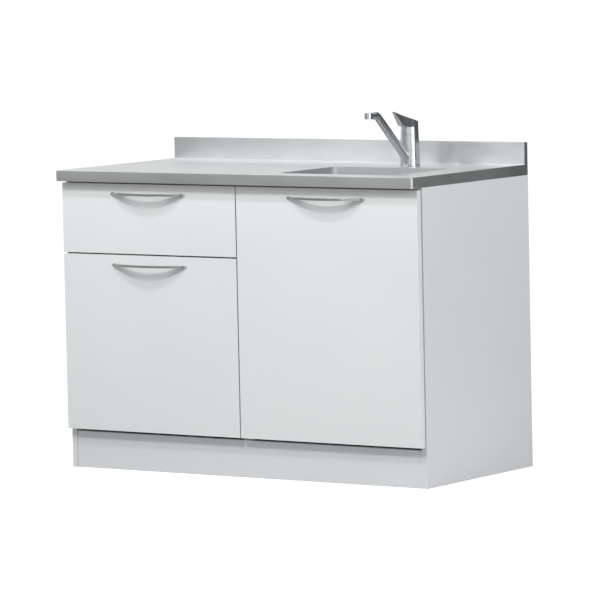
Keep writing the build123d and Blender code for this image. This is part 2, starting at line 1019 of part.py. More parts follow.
def tap_supply_tails():
    """The two copper tails: down the shank, apart under the worktop, and straight down."""
    tails = []
    top = worktop_height + base_ring + shank_socket + tail_seat - slide_gap
    for side in (-1, 1):
        near = tap_x + side * tail_pitch
        far = tap_x + side * tail_spread
        points = [
            (near, tap_y, top),
            (near, tap_y, worktop_height - tail_shoulder),
            (far, tap_y, worktop_height - tail_elbow),
            (far, tap_y, tail_end_height),
        ]
        path = FilletPolyline(*points, radius=tail_bend_radius)
        section = Plane(origin=points[0], z_dir=(0, 0, -1)) * (Circle(tail_radius) - Circle(tail_bore))
        tails.append(sweep(section, path=path))
    return tails


def tap_spout():
    """The sleeve that turns on the body, with the rising spout and its outlet collar."""
    low = base_ring + ring_gap
    high = sleeve_top - ring_gap
    bore = spigot_radius + running_fit
    angle = radians(spout_angle)
    bend_height = spout_axis_height - spout_bend * (1 - cos(angle))
    root = body_radius(high)
    root_height = high - spout_shoulder - spout_root_radius / cos(angle)
    bend_forward = root + (bend_height - root_height) / tan(angle)
    start_forward = spigot_radius
    start_up = root_height - (root - start_forward) * tan(angle)
    length = (bend_forward - start_forward) / cos(angle)
    rise = (0, -cos(angle), sin(angle))
    spout = taper(tap_point(start_forward, start_up), rise, length, spout_root_radius, spout_radius)
    level_forward = bend_forward + spout_bend * sin(angle)
    centre = tap_point(level_forward, spout_axis_height - spout_bend)
    level = tap_point(level_forward, spout_axis_height)
    section = Plane(origin=level, z_dir=(0, 1, 0))
    bend_axis = Axis(centre, (1, 0, 0))
    spout += revolve(section * Circle(spout_radius), bend_axis, revolution_arc=-spout_angle)
    run = spout_reach - level_forward
    spout += taper(level, (0, -1, 0), run, spout_radius, spout_end_radius)
    collar_height = outlet_top - outlet_bottom
    spout += rod(tap_point(spout_reach, outlet_bottom), (0, 0, 1), collar_height, outlet_radius)
    sleeve = [(0, low), (body_radius(low), low), (body_radius(high), high), (0, high)]
    spout += turned(tap_point(0, 0), sleeve)
    spout -= rod(tap_point(0, 0), (0, 0, 1), sleeve_top, bore)
    bore_radius = aerator_radius + running_fit
    return spout - rod(tap_point(spout_reach, outlet_bottom), (0, 0, 1), aerator_height, bore_radius)


def spout_aerator():
    """The insert in the outlet collar."""
    start = tap_point(spout_reach, outlet_bottom)
    return ring(start, aerator_radius, aerator_bore, aerator_height)


def lever_pin(gap=0):
    """The pin at the back of the lever, or with a gap a bore for it."""
    x, y, z = tap_point(-lever_pin_back, lever_pin_height)
    half = lever_pin_half_length + gap
    return rod((x - half, y, z), (1, 0, 0), 2 * half, lever_pin_radius + gap)


def side_face(points):
    """A flat outline on the tap's middle plane, from (forward, up) points."""
    return make_face(Polyline([tap_point(forward, up) for forward, up in points], close=True))


def lever_plan():
    """The lever seen from above: round over the turret, narrowing to its chin and its blunt tip."""
    back = body_radius(tap_height)
    chin = (lever_chin_half_width, -lever_chin[0])
    turn = atan2(-chin[1], chin[0]) - acos(back / hypot(*chin))
    touch = (back * cos(turn), -back * sin(turn))
    right = [touch, chin, (lever_tip_half_width, -lever_tip[0])]
    left = [(-x, y) for x, y in reversed(right)]
    outline = make_face(Polyline([(x, y, 0) for x, y in right + left], close=True))
    outline = fillet(outline.vertices().sort_by(Axis.Y)[:2], lever_tip_half_width / 2)
    outline += Circle(back)
    return Pos(*tap_point(0, 0)) * extrude(outline, amount=2 * tap_height)


def tap_lever():
    """The wedge lever over the turret, hung on a pin at its back."""
    back = body_radius(tap_height)
    floor = tap_height + lever_lift
    pin = -lever_pin_back
    relief = (back - lever_pin_back) * tan(radians(lever_relief))
    side = [
        (pin, floor),
        (body_radius(tap_height), floor),
        lever_chin,
        lever_tip,
        (-back, lever_back_height),
        (-back, floor + relief),
    ]
    wedge = extrude(side_face(side), amount=back, both=True) & lever_plan()
    x, y, z = tap_point(pin, lever_pin_height)
    gap = slide_gap
    half = ear_half_width + gap
    slot = rod((x - half, y, z), (1, 0, 0), 2 * half, ear_radius + gap)
    slot_y = (y - ear_radius - gap, tap_y + back)
    slot += block((x - half, x + half), slot_y, (worktop_height + tap_height, z))
    return wedge - slot - lever_pin(slip / 5)


def tap_turret():
    """The ring under the lever that turns with it, with the ear that holds the lever's pin."""
    recess = cartridge_floor + cartridge_height + slide_gap
    bore = cartridge_radius + 3 * slide_gap
    outline = [
        (bore, turret_base),
        (body_radius(turret_base), turret_base),
        (body_radius(tap_height), tap_height),
        (0, tap_height),
        (0, recess),
        (bore, recess),
    ]
    turret = turned(tap_point(0, 0), outline)
    x, y, z = tap_point(-lever_pin_back, lever_pin_height)
    half = ear_half_width
    ear = rod((x - half, y, z), (1, 0, 0), 2 * half, ear_radius)
    ear += block((x - half, x + half), (y - ear_radius, y + ear_radius), (worktop_height + recess, z))
    ear &= rod(tap_point(0, recess), (0, 0, 1), tap_height, body_radius(tap_height))
    return turret + ear - lever_pin(running_fit)


# ---------------------------------------------------------------- nodes


def write_cabinet():
    """Both carcasses and the plinth."""
    sides = {
        "left_unit_outer_side": (0, *inner_faces(0)[0]),
        "left_unit_inner_side": (0, *inner_faces(0)[1]),
        "right_unit_inner_side": (1, *inner_faces(1)[0]),
        "right_unit_outer_side": (1, *inner_faces(1)[1]),
    }
    for name, place in sides.items():
        save(name, side_panel(*place))
    for unit, name in enumerate(("left_unit", "right_unit")):
        save(f"{name}_bottom", bottom_board(unit))
        save(f"{name}_back", back_panel(unit))
        save(f"{name}_top_rails", group(top_rails(unit)))
    save("left_unit_shelf", shelf())
    save("shelf_pins", group(shelf_pins()))
    save("plinth_board", plinth_board())
    save("plinth_blocks", group(plinth_blocks()))
    save("carcass_dowels", group(dowels(0) + dowels(1)))
    save("unit_connecting_screws", group(connectors()))
    save("worktop_screws", group(worktop_screws()))


def write_worktop():
    """The worktop, its bowl and the waste fitting down to the wall."""
    save("worktop_deck", worktop_deck())
    save("worktop_core", worktop_core())
    save("sink_bowl", sink_bowl())
    save("strainer_flange", strainer_flange())
    save("strainer_seal", strainer_seal())
    save("strainer_shell", strainer_shell())
    save("strainer_basket", strainer_basket())
    save("trap_inlet_pipe", trap_inlet_pipe())
    save("trap_union_nuts", group(trap_union_nuts()))
    save("trap_body", trap_body())
    save("trap_cup", trap_cup())
    save("trap_outlet_pipe", trap_outlet_pipe())


def write_drawer():
    """The drawer with its front, handle and runners."""
    z_span = (drawer_front_bottom, fronts_top)
    x = sum(front_span(0)) / 2
    handle_z = fronts_top - handle_drop
    save("drawer_front", front_panel(0, z_span))
    save("drawer_handle", bow_handle(x, handle_z))
    save("drawer_handle_screws", group(handle_screws(x, handle_z)))
    save("drawer_sides", group(drawer_sides()))
    save("drawer_back", drawer_back())
    save("drawer_floor", drawer_groove(0))
    members = ("runner_cabinet_members", "runner_middle_members", "runner_drawer_members")
    for name, section in zip(members, runner_sections()):
        save(name, group(runner_pair(section)))


def write_doors():
    """Both doors with their handles and hinges."""
    arms = []
    pins = []
    doors = {
        "left_door": (0, (fronts_bottom, left_door_top)),
        "right_door": (1, (fronts_bottom, fronts_top)),
    }
    for name, (unit, z_span) in doors.items():
        edge = DoorEdge(unit, z_span)
        x = sum(front_span(unit)) / 2
        handle_z = z_span[1] - handle_drop
        save(f"{name}_panel", front_panel(unit, z_span) - cup_bores(edge))
        save(f"{name}_handle", bow_handle(x, handle_z))
        save(f"{name}_handle_screws", group(handle_screws(x, handle_z)))
        save(f"{name}_hinge_cups", group(hinge_cup(edge, z) for z in edge.heights))
        arms += [hinge_arm(edge, z) for z in edge.heights]
        pins += [hinge_pin(edge, z) for z in edge.heights]
    save("hinge_arms", group(arms))
    save("hinge_pins", group(pins))


def write_tap():
    """The mixer tap with its fixing and supply tails."""
    save("tap_base_ring", tap_base_ring())
    save("tap_body", tap_body())
    save("tap_shank", tap_shank())
    save("tap_clamp_washer", tap_clamp_washer())
    save("tap_clamp_nut", tap_clamp_nut())
    save("tap_cartridge", tap_cartridge())
    save("tap_supply_tails", group(tap_supply_tails()))
    save("tap_spout", tap_spout())
    save("spout_aerator", spout_aerator())
    save("tap_turret", tap_turret())
    save("tap_lever", tap_lever())
    save("lever_pin", lever_pin())


os.makedirs("parts", exist_ok=True)
write_cabinet()
write_worktop()
write_drawer()
write_doors()
write_tap()
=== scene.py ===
# %% [markdown]
# # A kitchen sink unit, finished in Blender
#
# The cabinet, worktop, bowl and mixer tap come from a CAD model, already at their real size.
# Blender's job here is the look: rounded edges that catch the light, a real finish on each
# surface, small trim, and a studio that lights it plainly. Everything is in metres, with X to the
# right, Y towards the wall and Z up.

import bmesh
import bpy
import json
from math import atan2, cos, pi, radians, sin
from mathutils import Matrix, Vector


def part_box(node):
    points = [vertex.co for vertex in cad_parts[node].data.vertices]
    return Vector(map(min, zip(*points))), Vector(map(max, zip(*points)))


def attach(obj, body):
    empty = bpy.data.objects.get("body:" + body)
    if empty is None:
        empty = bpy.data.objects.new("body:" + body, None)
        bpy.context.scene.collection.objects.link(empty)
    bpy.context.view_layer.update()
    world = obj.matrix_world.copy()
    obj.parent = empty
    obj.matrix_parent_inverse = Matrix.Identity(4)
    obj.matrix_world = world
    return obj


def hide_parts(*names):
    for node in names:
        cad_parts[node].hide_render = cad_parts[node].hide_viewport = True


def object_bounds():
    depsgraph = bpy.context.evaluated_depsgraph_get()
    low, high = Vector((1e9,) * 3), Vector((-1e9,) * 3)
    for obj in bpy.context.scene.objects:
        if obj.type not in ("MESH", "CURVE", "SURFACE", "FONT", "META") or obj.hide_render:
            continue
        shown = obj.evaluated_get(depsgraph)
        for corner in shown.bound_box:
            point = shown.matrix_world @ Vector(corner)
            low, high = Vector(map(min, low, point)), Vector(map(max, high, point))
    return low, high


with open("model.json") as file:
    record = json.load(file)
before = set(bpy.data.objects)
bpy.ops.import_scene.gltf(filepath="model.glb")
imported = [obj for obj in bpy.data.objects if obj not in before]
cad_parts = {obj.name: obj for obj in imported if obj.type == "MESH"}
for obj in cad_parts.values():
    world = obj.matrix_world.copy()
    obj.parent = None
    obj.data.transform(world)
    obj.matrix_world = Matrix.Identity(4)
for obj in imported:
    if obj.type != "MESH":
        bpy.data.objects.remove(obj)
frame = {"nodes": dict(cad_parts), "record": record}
nodes = frame["nodes"]
cad_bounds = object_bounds()
body_of_node = {
    node: body
    for body, members in frame["record"]["behaviour"]["bodies"].items()
    for node in members
}
slot_of_node = {part["node"]: part["material_slot"] for part in frame["record"]["subparts"]}
print("nodes", len(nodes), "box", cad_bounds)

# %% [markdown]
# ## The camera
#
# A product picture of a cabinet is taken from far away with a long lens, so that its upright edges
# stay nearly parallel. The camera's place, its angles and its focal length were worked out from
# the corners of the unit. The roll is small: the picture leans by about a degree.

# %% Camera
camera_place = Vector((7.557, -11.092, 1.666))
turn, tilt, roll = radians(-34.17), radians(5.07), radians(-1.23)
focal_pixels, picture_pixels, sensor = 4778, 600, 36.0

ahead = Vector((sin(turn) * cos(tilt), cos(turn) * cos(tilt), -sin(tilt)))
level_right = Vector((cos(turn), -sin(turn), 0))
level_up = level_right.cross(ahead)
right = level_right * cos(roll) + level_up * sin(roll)
up = level_up * cos(roll) - level_right * sin(roll)

camera_data = bpy.data.cameras.new("camera")
camera_data.sensor_width = sensor
camera_data.lens = focal_pixels / picture_pixels * sensor
camera_data.clip_end = 200
camera = bpy.data.objects.new("camera", camera_data)
camera.matrix_world = Matrix.Translation(camera_place) @ Matrix(
    (right, up, -ahead)
).transposed().to_4x4()
bpy.context.scene.collection.objects.link(camera)
bpy.context.scene.camera = camera
bpy.context.scene.view_settings.view_transform = "Standard"
print("lens", round(camera_data.lens), "mm")

# %% [markdown]
# ## Small helpers for colours and nodes
#
# Colours are easier to read as the hex values of a colour picker, but shaders work in linear light,
# so one function converts them. Another adds one shader node with its settings and its links,
# which keeps every material below short. Patterns are drawn from Object coordinates, which are in
# metres here, so a pattern's scale is one metre divided by its real size in millimetres.

# %% Colour and node helpers


def linear(hex_colour):
    """A colour picker's hex value as the linear colour that shaders use."""
    channels = [int(hex_colour[i : i + 2], 16) / 255 for i in (1, 3, 5)]
    curved = [c / 12.92 if c <= 0.04045 else ((c + 0.055) / 1.055) ** 2.4 for c in channels]
    return (*curved, 1.0)


def per_metre(millimetres):
    """How many features of this size fit in a metre."""
    return 1000.0 / millimetres


def add(tree, kind, inputs=None, **settings):
    """Adds one node. Each input is given a value, or linked to another node's output."""
    node = tree.nodes.new(kind)
    for name, value in settings.items():
        setattr(node, name, value)
    for name, value in (inputs or {}).items():
        if isinstance(value, bpy.types.NodeSocket):
            tree.links.new(value, node.inputs[name])
        else:
            node.inputs[name].default_value = value
    return node


def new_finish(name, hex_colour, metallic, roughness):
    """A material with its constant values set on the shader itself."""
    material = bpy.data.materials.new(name)
    material.use_nodes = True
    shader = material.node_tree.nodes["Principled BSDF"]
    shader.inputs["Base Color"].default_value = linear(hex_colour)
    shader.inputs["Metallic"].default_value = metallic
    shader.inputs["Roughness"].default_value = roughness
    place = add(material.node_tree, "ShaderNodeTexCoord").outputs["Object"]
    return material, material.node_tree, shader, place


finishes = {}
print("mid grey is", round(linear("#808080")[0], 3), "in linear light")

# %% [markdown]
# ## Patterns that change a finish
#
# No real surface is the same all over. Image textures could show that, but they need unwrapped
# pieces and blur close up. Noise needs neither: stretched along an axis it draws brushed lines, and
# even all round it draws pebbles, clouds or grain. One function then lets a pattern lead the
# roughness, the tone and the height of the skin, because on a real surface these go together.

# %% Pattern helpers
middle_values = (0.3, 0.7)


def stretched_noise(tree, place, sizes_mm, detail=3.0):
    """Noise whose features have a real size along X, Y and Z."""
    scale = tuple(per_metre(size) for size in sizes_mm)
    mapped = add(tree, "ShaderNodeMapping", {"Vector": place, "Scale": scale})
    settings = {"Vector": mapped.outputs[0], "Scale": 1.0, "Detail": detail}
    return add(tree, "ShaderNodeTexNoise", settings).outputs[0]


def vary(
    tree,
    shader,
    pattern,
    roughness=None,
    tones=None,
    relief_mm=None,
    strength=1.0,
    span=middle_values,
):
    """Lets this span of a pattern's values lead a finish's roughness, tone and relief."""
    if roughness:
        settings = {"Value": pattern, "From Min": span[0], "From Max": span[1]}
        settings.update({"To Min": roughness[0], "To Max": roughness[1]})
        dull = add(tree, "ShaderNodeMapRange", settings)
        tree.links.new(dull.outputs[0], shader.inputs["Roughness"])
    if tones:
        ramp = add(tree, "ShaderNodeValToRGB", {"Fac": pattern})
        for stop, position, tone in zip(ramp.color_ramp.elements, span, tones):
            stop.position = position
            stop.color = linear(tone)
        tree.links.new(ramp.outputs[0], shader.inputs["Base Color"])
    if relief_mm:
        settings = {"Height": pattern, "Distance": relief_mm / 1000.0, "Strength": strength}
        bump = add(tree, "ShaderNodeBump", settings)
        tree.links.new(bump.outputs[0], shader.inputs["Normal"])


print("one metre holds", per_metre(2), "features of 2 mm")

# %% [markdown]
# ## Stainless steel worktop and bowl
#
# The worktop is folded from one sheet of 18/10 stainless steel with a satin, linished face. The
# rolls leave fine lines along its length, which widen every highlight across them. The real lines
# are about a tenth of a millimetre apart; here they are drawn a millimetre apart, so that a close
# view still shows them. Broad, faint clouds stand for the wiping that every worktop gets. An
# anisotropic shader could widen the highlights too, but drawn lines also show as lines.
#
# The bowl is pressed and then brushed with a coarser belt, so it is duller than the worktop. Its
# steel is also painted a little darker than the worktop's, as painted shade in the hollow of the
# bowl.

# %% Stainless steel
# Linished steel: soft, streaked mirror images that are sharper along the lines than across them.
material, tree, shader, place = new_finish("linished_stainless_steel", "#C3C5C6", 1.0, 0.42)
lines = stretched_noise(tree, place, (260, 1.1, 1.1), 4.0)
clouds = stretched_noise(tree, place, (330, 160, 160), 2.0)
start, end = middle_values
of_lines = {"Value": lines, "From Min": start, "From Max": end, "To Min": 0.34, "To Max": 0.46}
of_clouds = {"Value": clouds, "From Min": start, "From Max": end, "To Min": -0.03, "To Max": 0.05}
dull = add(
    tree,
    "ShaderNodeMath",
    {
        0: add(tree, "ShaderNodeMapRange", of_lines).outputs[0],
        1: add(tree, "ShaderNodeMapRange", of_clouds).outputs[0],
    },
    operation="ADD",
)
tree.links.new(dull.outputs[0], shader.inputs["Roughness"])
vary(tree, shader, clouds, tones=("#BDBFC0", "#C8CACB"))
vary(tree, shader, lines, relief_mm=0.02, strength=0.35)
finishes["stainless_steel"] = material

# Brushed bowl: broad, dull light and dark, with no clear mirror image. Its tones are a little
# darker than the worktop's, as painted shade in the hollow of the bowl.
material, tree, shader, place = new_finish("brushed_steel_bowl", "#B9BBBC", 1.0, 0.54)
strokes = stretched_noise(tree, place, (120, 1.4, 1.4), 4.0)
vary(tree, shader, strokes, (0.5, 0.58), ("#B6B8B9", "#BCBEBF"), relief_mm=0.02, strength=0.35)
finishes["bowl"] = material
print("steel finishes", sorted(finishes))

# %% [markdown]
# ## Chrome and satin metal
#
# The tap is cast brass with a bright chrome plate, so it mirrors the studio almost sharply. The
# handles are drawn bars with a satin plate. Both are one shader with full Metallic and only differ
# in roughness; a separate clear coat could be laid over them, but plating has none.

# %% Chrome and satin metal
# Chrome: nearly sharp mirror images, which a thin film of water marks softens here and there.
material, tree, shader, place = new_finish("bright_chrome_plate", "#C4C7C9", 1.0, 0.2)
film = stretched_noise(tree, place, (14, 14, 22))
vary(tree, shader, film, roughness=(0.17, 0.24))
finishes["chrome_plate"] = material

# Satin nickel: a soft highlight along the bar, broken up by fine drawn lines.
material, tree, shader, place = new_finish("satin_nickel_plate", "#B4B6B6", 1.0, 0.3)
lines = stretched_noise(tree, place, (70, 0.9, 0.9))
vary(tree, shader, lines, roughness=(0.22, 0.34), relief_mm=0.015, strength=0.3)
finishes["satin_metal"] = material
print("finishes so far", sorted(finishes))

# %% [markdown]
# ## The plain metals inside
#
# Hinges, runners and screws are zinc plated. The tap's shank and nut are turned brass, and its
# tails are drawn copper tube that has begun to darken. A Voronoi pattern gives zinc its patches,
# and a Wave pattern gives brass the rings that a lathe leaves, because both match how the surface
# came about better than plain noise would.

# %% Zinc, brass and copper
wave_radians = 20


def wave_scale(millimetres):
    """The Wave Texture's scale for bands this far apart: it draws 20 radians of wave in a unit."""
    return per_metre(millimetres) * 2 * pi / wave_radians


# Zinc plate: greyer and duller than chrome, in faintly blue patches of uneven gloss.
material, tree, shader, place = new_finish("zinc_plated_steel", "#A7ABAF", 1.0, 0.36)
spangle = add(
    tree, "ShaderNodeTexVoronoi", {"Vector": place, "Scale": per_metre(4)}, feature="F1"
)
grain = stretched_noise(tree, place, (9, 9, 9), 4.0)
vary(tree, shader, grain, tones=("#9CA1A8", "#B3B5B4"))
vary(tree, shader, spangle.outputs["Color"], roughness=(0.28, 0.44), span=(0.0, 1.0))
finishes["zinc_steel"] = material

# Turned brass: warm yellow, with rings that make its highlight shimmer.
material, tree, shader, place = new_finish("turned_brass", "#BE9A58", 1.0, 0.28)
rings = add(
    tree,
    "ShaderNodeTexWave",
    {"Vector": place, "Scale": wave_scale(9.425), "Distortion": 0.4},
    bands_direction="Z",
).outputs[1]
vary(tree, shader, rings, (0.22, 0.36), relief_mm=0.05, strength=0.6, span=(0.0, 1.0))
finishes["brass_fittings"] = material

# Copper: red and bright where it is new, browner and duller where it has tarnished.
material, tree, shader, place = new_finish("drawn_copper_tube", "#B8734F", 1.0, 0.26)
tarnish = stretched_noise(tree, place, (18, 18, 60), 4.0)
vary(tree, shader, tarnish, (0.2, 0.4), ("#9A5B41", "#C07D58"))
finishes["copper_tube"] = material
print("finishes so far", sorted(finishes))

# %% [markdown]
# ## White boards and fronts
#
# The carcass is chipboard faced with white melamine paper, which has a very fine pebbled skin. The
# fronts are smoother, with a satin lacquered foil. Plain white would do from afar. The pebbles and
# a very slight change of tone are there because a large, even white looks like paper otherwise.

# %% White boards and fronts
# Melamine: an even white with a wide, weak sheen. Its pebbles only break up the sheen.
material, tree, shader, place = new_finish("white_melamine_face", "#E4E6E7", 0.0, 0.5)
pebbles = stretched_noise(tree, place, (0.9, 0.9, 0.9))
tone = stretched_noise(tree, place, (420, 420, 420), 1.0)
vary(tree, shader, tone, tones=("#E2E4E5", "#E7E8E9"))
vary(tree, shader, pebbles, roughness=(0.44, 0.56), relief_mm=0.03, strength=0.5)
finishes["white_board"] = material

# Satin lacquer: a brighter white with a long, soft sheen and hardly any texture.
material, tree, shader, place = new_finish("white_satin_lacquer", "#ECEDED", 0.0, 0.36)
orange_peel = stretched_noise(tree, place, (3.2, 3.2, 3.2), 2.0)
tone = stretched_noise(tree, place, (500, 500, 500), 1.0)
vary(tree, shader, tone, tones=("#EAECEC", "#EEEFEF"))
vary(tree, shader, orange_peel, roughness=(0.32, 0.4), relief_mm=0.02, strength=0.4)
finishes["white_fronts"] = material
print("finishes so far", len(finishes))

# %% [markdown]
# ## Boards that are not white paper
#
# Raw chipboard shows in the worktop's cut-outs, as chips of two or three millimetres. The backs are
# painted hardboard, and the blocks behind the plinth are planed softwood with a broad figure. Chips
# are cells with hard borders, so they are a Voronoi pattern; fibres are noise, and growth rings are
# a Wave pattern that is bent a little.

# %% Chipboard, hardboard and softwood
# Raw chipboard: dry and matt, flecked from dark to pale brown.
material, tree, shader, place = new_finish("raw_chipboard", "#A1978A", 0.0, 0.85)
chips = add(tree, "ShaderNodeTexVoronoi", {"Vector": place, "Scale": per_metre(2.6)})
vary(tree, shader, chips.outputs["Color"], tones=("#7A7064", "#B5AB9C"))
vary(tree, shader, chips.outputs["Distance"], relief_mm=0.3, strength=0.6)
finishes["raw_chipboard"] = material

# Painted hardboard: a flat off-white, faintly hairy from the fibres under the paint.
material, tree, shader, place = new_finish("painted_hardboard", "#DEDFDD", 0.0, 0.6)
fibres = stretched_noise(tree, place, (1.6, 1.6, 1.6), 4.0)
vary(tree, shader, fibres, tones=("#D8D9D7", "#E3E4E2"), relief_mm=0.06, strength=0.5)
finishes["white_hardboard"] = material

# Softwood: warm, matt and pale, with darker bands.
material, tree, shader, place = new_finish("planed_softwood", "#CFAE78", 0.0, 0.6)
growth = add(
    tree,
    "ShaderNodeTexWave",
    {"Vector": place, "Scale": wave_scale(25.13), "Distortion": 5.0, "Detail": 3.0},
    bands_direction="Y",
).outputs[1]
vary(tree, shader, growth, tones=("#B98F57", "#D9BC8A"))
finishes["softwood"] = material
print("finishes so far", len(finishes))

# %% [markdown]
# ## Plastic and rubber
#
# The trap is moulded polypropylene, the tap's cartridge is moulded acetal, and the seal is a black
# rubber ring. Moulded plastic shows how it flowed into the mould, as faint streaks in its gloss, so
# long soft noise is enough; scattering under the surface could be added, but it would hardly show
# inside the cupboard.

# %% Plastics
# Polypropylene: a waxy white, slightly uneven in gloss.
material, tree, shader, place = new_finish("moulded_polypropylene", "#E6E7E2", 0.0, 0.42)
flow = stretched_noise(tree, place, (12, 12, 30))
vary(tree, shader, flow, (0.36, 0.5), ("#E1E2DC", "#EAEBE7"))
finishes["trap_plastic"] = material

# Acetal: a denser, greyer plastic with an even sheen.
material, tree, shader, place = new_finish("moulded_acetal", "#B9BBB4", 0.0, 0.4)
flow = stretched_noise(tree, place, (6, 6, 6))
vary(tree, shader, flow, tones=("#B2B4AD", "#C0C2BB"))
finishes["cartridge_plastic"] = material

# Rubber: dull black with a dry, fine grain.
material, tree, shader, place = new_finish("black_rubber", "#1D1E1F", 0.0, 0.8)
dust = stretched_noise(tree, place, (2, 2, 2), 4.0)
vary(tree, shader, dust, tones=("#18191A", "#26282A"), relief_mm=0.05, strength=0.5)
finishes["seal_rubber"] = material

for name, cad_node in nodes.items():
    cad_node.data.materials.clear()
    finish = "bowl" if name == "sink_bowl" else slot_of_node[name]
    cad_node.data.materials.append(finishes[finish])
print("finishes", len(finishes), "on", len(nodes), "nodes")

# %% [markdown]
# ## Rounded edges
#
# A CAD edge is perfectly sharp, and nothing real is: foil is wrapped round a front's edge, steel is
# folded over a radius, and plated parts are polished before plating. A narrow bevel gives the edge
# its thin line of light. A Bevel node in the shader could fake it, but only in the render. So each
# piece is a copy of its CAD node with the triangles joined into whole faces first, then a Bevel
# modifier that only touches hard edges. Weighted normals keep the broad faces flat beside the
# bevel. The result is turned into a plain mesh that takes the node's place.

# %% Rounded copies
# Corners closer than this, in metres, are one corner, and faces within this angle are one face.
same_place = 2e-6
flat_angle = radians(0.4)


def plain_mesh(piece, name):
    """The piece's mesh with its modifiers worked in."""
    graph = bpy.context.evaluated_depsgraph_get()
    mesh = bpy.data.meshes.new_from_object(piece.evaluated_get(graph), depsgraph=graph)
    mesh.name = name
    piece.modifiers.clear()
    piece.data = mesh
    return mesh


def rounded(name, radius_mm, segments=2, hard_angle=32):
    """A copy of a CAD node with its hard edges rounded, shown in the node's place."""
    mesh = nodes[name].data.copy()
    work = bmesh.new()
    work.from_mesh(mesh)
    bmesh.ops.remove_doubles(work, verts=work.verts, dist=same_place)
    bmesh.ops.dissolve_limit(
        work, angle_limit=flat_angle, verts=work.verts, edges=work.edges, delimit=set()
    )
    work.to_mesh(mesh)
    work.free()
    mesh.shade_smooth()
    mesh.set_sharp_from_angle(angle=radians(hard_angle))
    piece = bpy.data.objects.new(name + "_finished", mesh)
    bpy.context.scene.collection.objects.link(piece)
    bevel = piece.modifiers.new("edges", "BEVEL")
    bevel.width = radius_mm / 1000.0
    bevel.segments = segments
    bevel.limit_method = "ANGLE"
    bevel.angle_limit = radians(hard_angle)
    bevel.harden_normals = True
    flats = piece.modifiers.new("flats", "WEIGHTED_NORMAL")
    flats.keep_sharp = True
    plain_mesh(piece, name + "_finished")
    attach(piece, body_of_node[name])
    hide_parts(name)
    return piece


edge_radii_mm = {
    "worktop_deck": 0.45,
    "drawer_front": 1.2,
    "left_door_panel": 1.2,
    "right_door_panel": 1.2,
    "left_unit_outer_side": 0.5,
    "right_unit_outer_side": 0.5,
    "plinth_board": 0.5,
    "drawer_handle": 0.9,
    "left_door_handle": 0.9,
    "right_door_handle": 0.9,
    "tap_base_ring": 0.8,
    "tap_body": 0.8,
    "tap_turret": 0.8,
    "tap_spout": 0.6,
    "tap_lever": 1.0,
}
for name, radius in edge_radii_mm.items():
    piece = rounded(name, radius)
    print(piece.name, "faces", len(piece.data.polygons))

# %% [markdown]
# ## Helpers for small trim
#
# Small trim sits on pieces of the CAD model, so it takes its places from them. One helper finds
# the box of each separate solid in a node. Two more make a Geometry Nodes group and run it, which
# leaves a plain mesh, and the last one joins such meshes into a finished piece.

# %% Helpers for small trim


def loose_boxes(name):
    """The lowest and highest corner of each separate solid in a CAD node."""
    work = bmesh.new()
    work.from_mesh(nodes[name].data)
    bmesh.ops.remove_doubles(work, verts=work.verts, dist=same_place)
    left = set(work.verts)
    boxes = []
    while left:
        found = [left.pop()]
        for vertex in found:
            for edge in vertex.link_edges:
                other = edge.other_vert(vertex)
                if other in left:
                    left.remove(other)
                    found.append(other)
        points = [vertex.co for vertex in found]
        low = Vector([min(point[axis] for point in points) for axis in range(3)])
        high = Vector([max(point[axis] for point in points) for axis in range(3)])
        boxes.append((low, high))
    work.free()
    return sorted(boxes, key=lambda box: tuple(box[0]))


def new_group(name, inputs):
    """An empty Geometry Nodes group with named inputs, each with its kind."""
    group = bpy.data.node_groups.new(name, "GeometryNodeTree")
    group.interface.new_socket("Geometry", in_out="OUTPUT", socket_type="NodeSocketGeometry")
    for label, kind in {"Geometry": "Geometry", **inputs}.items():
        group.interface.new_socket(label, in_out="INPUT", socket_type="NodeSocket" + kind)
    return group


def run_group(group, mesh, values):
    """Runs the group on a mesh with these inputs, and gives back a plain mesh."""
    holder = bpy.data.objects.new(group.name, mesh)
    bpy.context.scene.collection.objects.link(holder)
    modifier = holder.modifiers.new(group.name, "NODES")
    modifier.node_group = group
    for item in group.interface.items_tree:
        if item.in_out == "INPUT" and item.name in values:
            modifier[item.identifier] = values[item.name]
    made = plain_mesh(holder, group.name)
    bpy.data.objects.remove(holder)
    return made


def joined_piece(name, meshes, body, slot):
    """One finished object out of several meshes."""
    work = bmesh.new()
    for mesh in meshes:
        work.from_mesh(mesh)
    whole = bpy.data.meshes.new(name)
    work.to_mesh(whole)
    work.free()
    whole.materials.clear()
    whole.materials.append(finishes[slot])
    piece = bpy.data.objects.new(name, whole)
    bpy.context.scene.collection.objects.link(piece)
    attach(piece, body)
    print(name, "faces", len(whole.polygons), "on", body)
    return piece


print("solids in the trap's nuts", len(loose_boxes("trap_union_nuts")))

# %% [markdown]
# ## Grip ribs on the trap
#
# The trap is taken apart by hand, so its nuts and cup have fine ribs to grip. Ribs repeat, so a
# Geometry Nodes group lays them round a circle: it makes the circle, puts one rounded bar on each
# of its points, and joins them into one mesh. Count and sizes are inputs of the group. The CAD file
# keeps the plain nuts, so each ring takes its place and radius from the node's own box.

# %% Ring of ribs
bar_sides = 8
ribs = new_group(
    "ring_of_ribs",
    {"Count": "Int", "Radius": "Float", "Length": "Float", "Width": "Float", "Finish": "Material"},
)
given = add(ribs, "NodeGroupInput").outputs
half_width = add(ribs, "ShaderNodeMath", {0: given["Width"], 1: 0.5}, operation="MULTIPLY")
circle = add(
    ribs, "GeometryNodeMeshCircle", {"Vertices": given["Count"], "Radius": given["Radius"]}
)
bar = add(
    ribs,
    "GeometryNodeMeshCylinder",
    {"Vertices": bar_sides, "Radius": half_width.outputs[0], "Depth": given["Length"]},
)
placed = add(
    ribs,
    "GeometryNodeInstanceOnPoints",
    {"Points": circle.outputs[0], "Instance": bar.outputs["Mesh"]},
)
real = add(ribs, "GeometryNodeRealizeInstances", {"Geometry": placed.outputs[0]})
soft = add(ribs, "GeometryNodeSetShadeSmooth", {"Geometry": real.outputs[0]})
